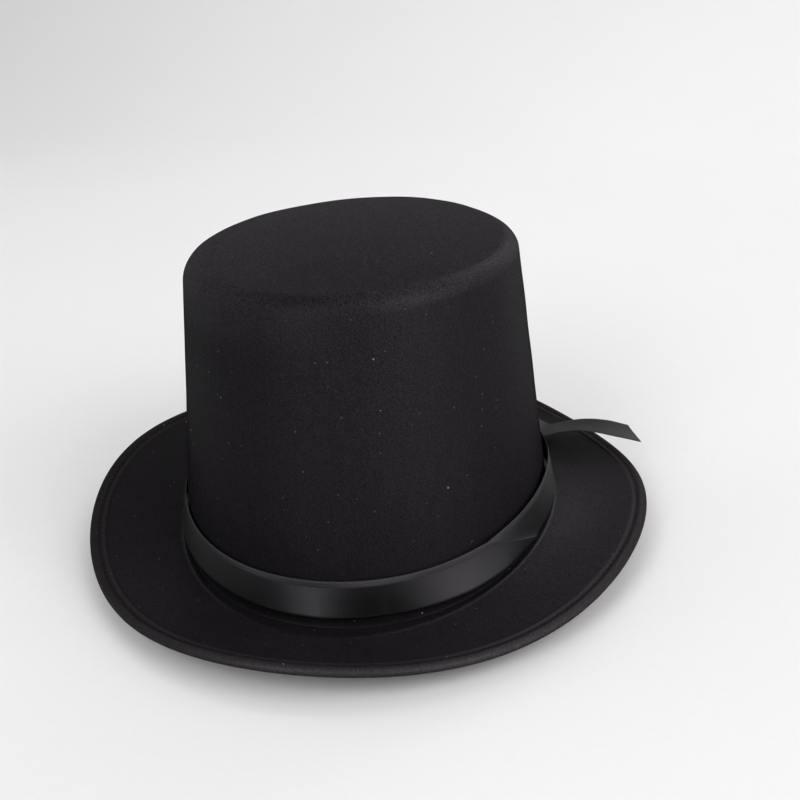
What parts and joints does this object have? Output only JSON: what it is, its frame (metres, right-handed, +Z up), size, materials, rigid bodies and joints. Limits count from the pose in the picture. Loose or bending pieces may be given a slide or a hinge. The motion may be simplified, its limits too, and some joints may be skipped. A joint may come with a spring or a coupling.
{
  "type": "top hat",
  "caption": "Soft top hat: moulded oval crown narrowing to a flat tip, curled wired brim, tied satin ribbon band with loose tails, lined with a sweatband.",
  "frame": {"origin": "centre of the brim outline, on the plane the hat rests on when it stands on its brim side", "axes": "+Z up out of the tip of the crown, -Y to the front of the hat, +X to the left of the person wearing it"},
  "size_m": [0.2798, 0.2913, 0.1465],
  "materials": {
    "cover_satin": "soft satin-faced knit with a low sheen",
    "underbrim_satin": "matte side of the same cloth",
    "core_foam": "fine closed-cell foam",
    "wire_steel": "drawn wire",
    "thread": "polyester thread",
    "tip_board": "pressed board",
    "lining_satin": "smooth satin",
    "sweatband_cloth": "matte ribbed cloth",
    "sweatband_tape": "grosgrain tape",
    "reed_plastic": "smooth moulded",
    "label_cloth": "plain woven tape",
    "ribbon_satin": "satin ribbon with a directional sheen"
  },
  "bodies": {
    "hat": {"cover_cloth": "cover_satin", "brim_edge_hem": "cover_satin", "underbrim_cloth": "underbrim_satin", "foam_core": "core_foam", "brim_wire": "wire_steel", "wire_sleeve": "wire_steel", "hem_stitching": "thread", "sweatband_stitching": "thread", "tip_stiffener": "tip_board", "tip_lining": "lining_satin", "side_lining": "lining_satin", "sweatband": "sweatband_cloth", "sweatband_join_tape": "sweatband_tape", "sweatband_reed": "reed_plastic"},
    "hatband": {"hatband_ribbon": "ribbon_satin", "hatband_knot": "ribbon_satin"},
    "tail_long": {"ribbon_tail_long": "ribbon_satin"},
    "tail_short": {"ribbon_tail_short": "ribbon_satin"},
    "care_label": {"care_label": "label_cloth"}
  },
  "joints": [
    {"name": "hatband_lift", "type": "slide", "parent": "hat", "child": "hatband", "axis": [0, 0, 1], "range_m": [0, 0.15]},
    {"name": "ribbon_tail_long_swing", "type": "hinge", "parent": "hatband", "child": "tail_long", "pos_m": [0.05242, 0.09194, 0.01877], "axis": [0, 0, 1], "range_deg": [-5, 70]},
    {"name": "ribbon_tail_short_swing", "type": "hinge", "parent": "hatband", "child": "tail_short", "pos_m": [0.03272, 0.10216, 0.01877], "axis": [0, 0, 1], "range_deg": [-45, 5]},
    {"name": "care_label_flip", "type": "hinge", "parent": "hat", "child": "care_label", "pos_m": [0.00091, 0.08773, 0.06835], "axis": [-1, 0, 0], "range_deg": [0, 110]}
  ]
}
